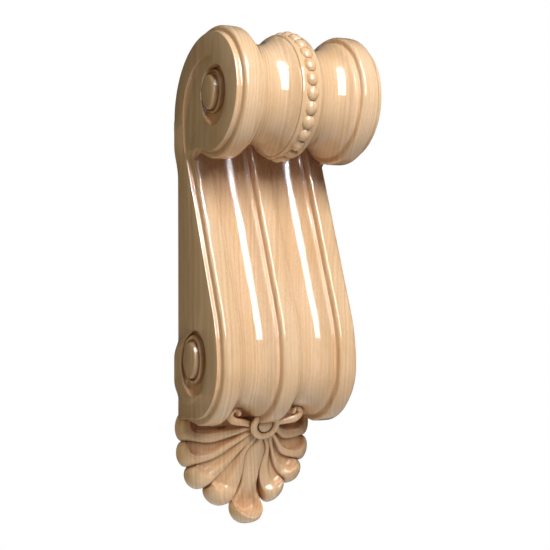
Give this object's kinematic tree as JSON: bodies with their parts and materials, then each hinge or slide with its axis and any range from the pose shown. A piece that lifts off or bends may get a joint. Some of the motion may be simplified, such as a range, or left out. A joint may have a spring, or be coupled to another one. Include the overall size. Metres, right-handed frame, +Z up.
{
  "type": "corbel bracket",
  "caption": "Carved wooden corbel: a beaded spool roll over a fluted S-curved shaft with scroll eyes, a palmette leaf below and a flat back for the wall.",
  "frame": {"origin": "on the flat back, on the middle line, half way up the bracket", "axes": "-Y towards the room, +Z up towards the roll, +X across the bracket"},
  "size_m": [0.1248, 0.1088, 0.3812],
  "materials": {
    "corbel": "pale maple under a clear semi-gloss lacquer, upright grain"
  },
  "bodies": {
    "root": {"corbel": "corbel"}
  },
  "joints": []
}
